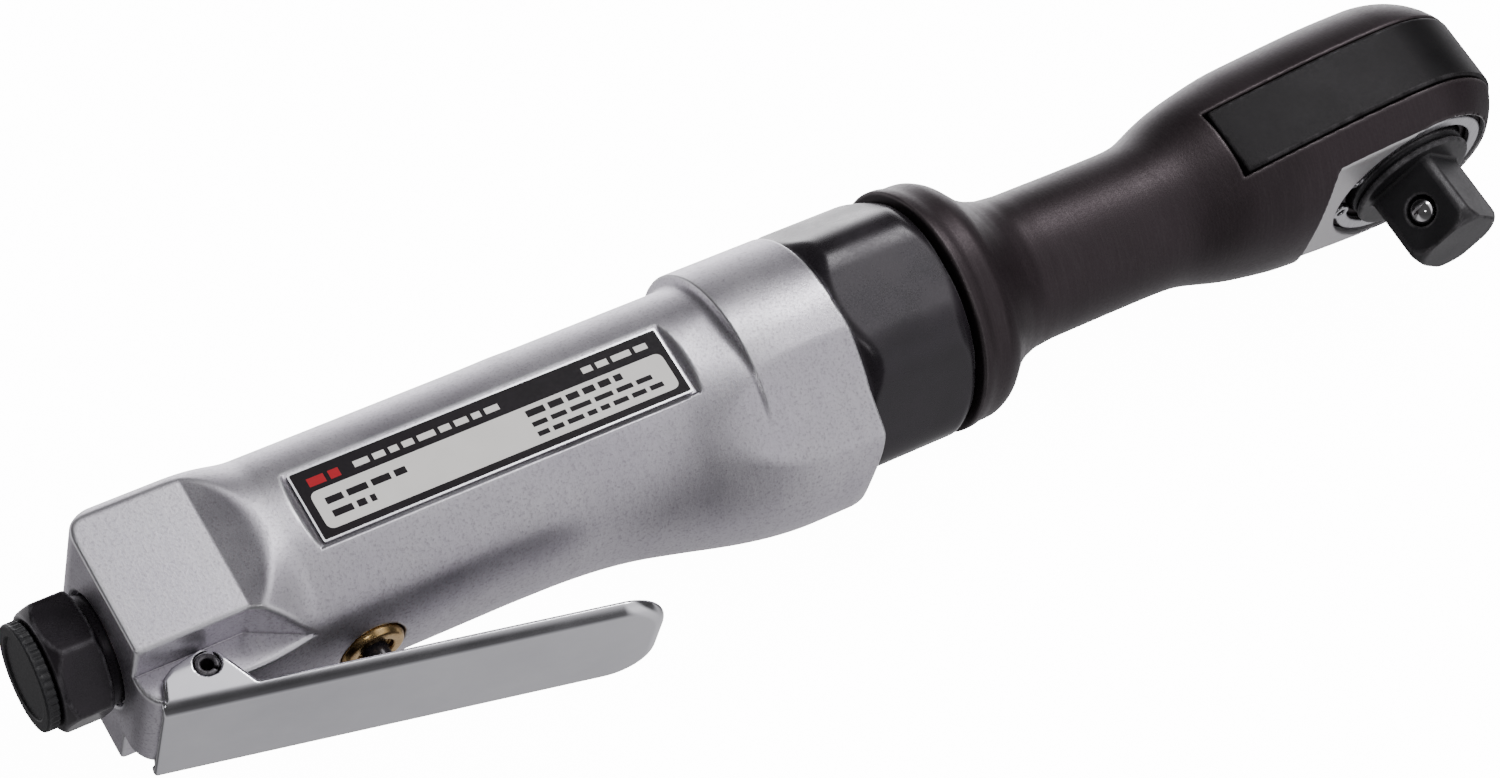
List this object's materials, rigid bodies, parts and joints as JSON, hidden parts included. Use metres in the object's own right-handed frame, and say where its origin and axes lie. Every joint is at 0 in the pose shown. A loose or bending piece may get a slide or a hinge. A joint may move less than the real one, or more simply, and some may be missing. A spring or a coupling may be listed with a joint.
{
  "type": "air ratchet",
  "caption": "Straight pneumatic ratchet wrench: aluminium grip with paddle throttle lever, black coupling nut, dark steel reciprocating head and square drive.",
  "frame": {"origin": "centre of the square drive's end face", "axes": "+X along the tool from the air inlet to the ratchet head, -Y out of the square drive and towards the throttle lever, +Z out of the side with the long nameplate"},
  "size_m": [0.2611, 0.0527, 0.0398],
  "materials": {
    "housing_aluminium": "satin tumbled cast aluminium, bare",
    "nameplate": "printed satin plate with a dark border",
    "blackened_steel": "glossy black oxide",
    "browned_steel": "dark phosphated steel, satin",
    "bright_steel": "ground steel",
    "lever_chrome": "polished chrome",
    "brass": "turned brass",
    "bronze": "sintered bronze",
    "plug_plastic": "moulded black plastic",
    "seal_rubber": "black nitrile rubber",
    "vane_resin": "cloth-filled resin",
    "muffler_felt": "pressed felt"
  },
  "bodies": {
    "tool": {"motor_housing": "housing_aluminium", "side_nameplate": "nameplate", "back_nameplate": "nameplate", "inlet_bushing": "blackened_steel", "inlet_screen": "brass", "lever_pin": "blackened_steel", "throttle_bushing": "brass", "plunger_seal": "seal_rubber", "valve_seat": "brass", "valve_spring": "bright_steel", "exhaust_muffler": "muffler_felt", "rear_end_plate": "bright_steel", "rear_bearing": "bright_steel", "motor_cylinder": "bright_steel", "cylinder_dowel": "bright_steel", "front_end_plate": "bright_steel", "front_bearing": "bright_steel", "ring_gear": "bright_steel", "crank_bearing": "bright_steel", "crank_bushing": "bronze", "coupling_nut": "blackened_steel", "ratchet_housing": "browned_steel", "head_gasket": "seal_rubber", "friction_washer": "bright_steel", "retaining_ring": "bright_steel"},
    "lever": {"throttle_lever": "lever_chrome"},
    "plunger": {"throttle_plunger": "blackened_steel"},
    "valve": {"throttle_valve": "seal_rubber"},
    "plug": {"inlet_plug": "plug_plastic"},
    "rotor": {"rotor": "bright_steel"},
    "vane_a": {"vane_1": "vane_resin"},
    "vane_b": {"vane_2": "vane_resin"},
    "vane_c": {"vane_3": "vane_resin"},
    "vane_d": {"vane_4": "vane_resin"},
    "crank": {"crankshaft": "bright_steel", "planet_pin_1": "bright_steel", "planet_pin_2": "bright_steel", "planet_pin_3": "bright_steel"},
    "planet_a": {"planet_gear_1": "bright_steel"},
    "planet_b": {"planet_gear_2": "bright_steel"},
    "planet_c": {"planet_gear_3": "bright_steel"},
    "crank_roller": {"drive_bushing": "bronze"},
    "yoke": {"ratchet_yoke": "blackened_steel"},
    "drive": {"anvil": "blackened_steel", "pawl_pin": "bright_steel", "detent_spring": "bright_steel"},
    "drive_pawl": {"pawl": "bright_steel"},
    "knob": {"reverse_knob": "blackened_steel", "pawl_plunger": "bright_steel", "pawl_spring": "bright_steel"},
    "ball": {"detent_ball": "bright_steel"}
  },
  "joints": [
    {"name": "lever_hinge", "type": "hinge", "parent": "tool", "child": "lever", "pos_m": [-0.2205, 0.0126, 0], "axis": [0, 0, 1], "range_deg": [0, 11], "stiffness_Nm_per_rad": 0.8, "springref_deg": -11.46},
    {"name": "plunger_slide", "type": "slide", "parent": "tool", "child": "plunger", "axis": [0, 1, 0], "range_m": [0, 0.005]},
    {"name": "valve_slide", "type": "slide", "parent": "tool", "child": "valve", "axis": [0, 1, 0], "range_m": [0, 0.005], "deforming": ["valve_spring"]},
    {"name": "plug_slide", "type": "slide", "parent": "tool", "child": "plug", "axis": [-1, 0, 0], "range_m": [0, 0.008]},
    {"name": "rotor_spin", "type": "hinge", "parent": "tool", "child": "rotor", "pos_m": [-0.15, 0.0256, 0], "axis": [1, 0, 0], "continuous": true},
    {"name": "crank_spin", "type": "hinge", "parent": "tool", "child": "crank", "pos_m": [-0.105, 0.0256, 0], "axis": [1, 0, 0], "continuous": true},
    {"name": "planet_a_spin", "type": "hinge", "parent": "crank", "child": "planet_a", "pos_m": [-0.1155, 0.03316, 0], "axis": [1, 0, 0], "continuous": true},
    {"name": "planet_b_spin", "type": "hinge", "parent": "crank", "child": "planet_b", "pos_m": [-0.1155, 0.02182, 0.00655], "axis": [1, 0, 0], "continuous": true},
    {"name": "planet_c_spin", "type": "hinge", "parent": "crank", "child": "planet_c", "pos_m": [-0.1155, 0.02182, -0.00655], "axis": [1, 0, 0], "continuous": true},
    {"name": "vane_a_slide", "type": "slide", "parent": "rotor", "child": "vane_a", "axis": [0, 0, 1], "range_m": [0, 0.001]},
    {"name": "vane_b_slide", "type": "slide", "parent": "rotor", "child": "vane_b", "axis": [0, -1, 0], "range_m": [0, 0.001]},
    {"name": "vane_c_slide", "type": "slide", "parent": "rotor", "child": "vane_c", "axis": [0, 0, -1], "range_m": [0, 0.001]},
    {"name": "vane_d_slide", "type": "slide", "parent": "rotor", "child": "vane_d", "axis": [0, 1, 0], "range_m": [0, 0.001]},
    {"name": "roller_spin", "type": "hinge", "parent": "crank", "child": "crank_roller", "pos_m": [-0.0285, 0.0274, 0], "axis": [1, 0, 0], "continuous": true},
    {"name": "yoke_rock", "type": "hinge", "parent": "tool", "child": "yoke", "pos_m": [0, 0.0256, 0], "axis": [0, 1, 0], "range_deg": [-3.6, 3.6]},
    {"name": "drive_spin", "type": "hinge", "parent": "tool", "child": "drive", "pos_m": [0, 0.01, 0], "axis": [0, 1, 0], "continuous": true},
    {"name": "pawl_rock", "type": "hinge", "parent": "drive", "child": "drive_pawl", "pos_m": [0.0056, 0.0256, 0], "axis": [0, 1, 0], "range_deg": [-6, 6]},
    {"name": "knob_turn", "type": "hinge", "parent": "drive", "child": "knob", "pos_m": [0, 0.04, 0], "axis": [0, 1, 0], "range_deg": [0, 40]},
    {"name": "ball_slide", "type": "slide", "parent": "drive", "child": "ball", "axis": [0.809, 0, -0.5878], "range_m": [0, 0.0007], "stiffness_N_per_m": 800, "springref_m": -0.001}
  ],
  "couplings": [
    {"joint": "plunger_slide", "follows": "lever_hinge", "m_per_rad": 0.0255},
    {"joint": "valve_slide", "follows": "lever_hinge", "m_per_rad": 0.0255},
    {"joint": "crank_spin", "follows": "rotor_spin", "ratio": 0.22222},
    {"joint": "planet_a_spin", "follows": "rotor_spin", "ratio": -0.62222},
    {"joint": "planet_b_spin", "follows": "rotor_spin", "ratio": -0.62222},
    {"joint": "planet_c_spin", "follows": "rotor_spin", "ratio": -0.62222}
  ]
}
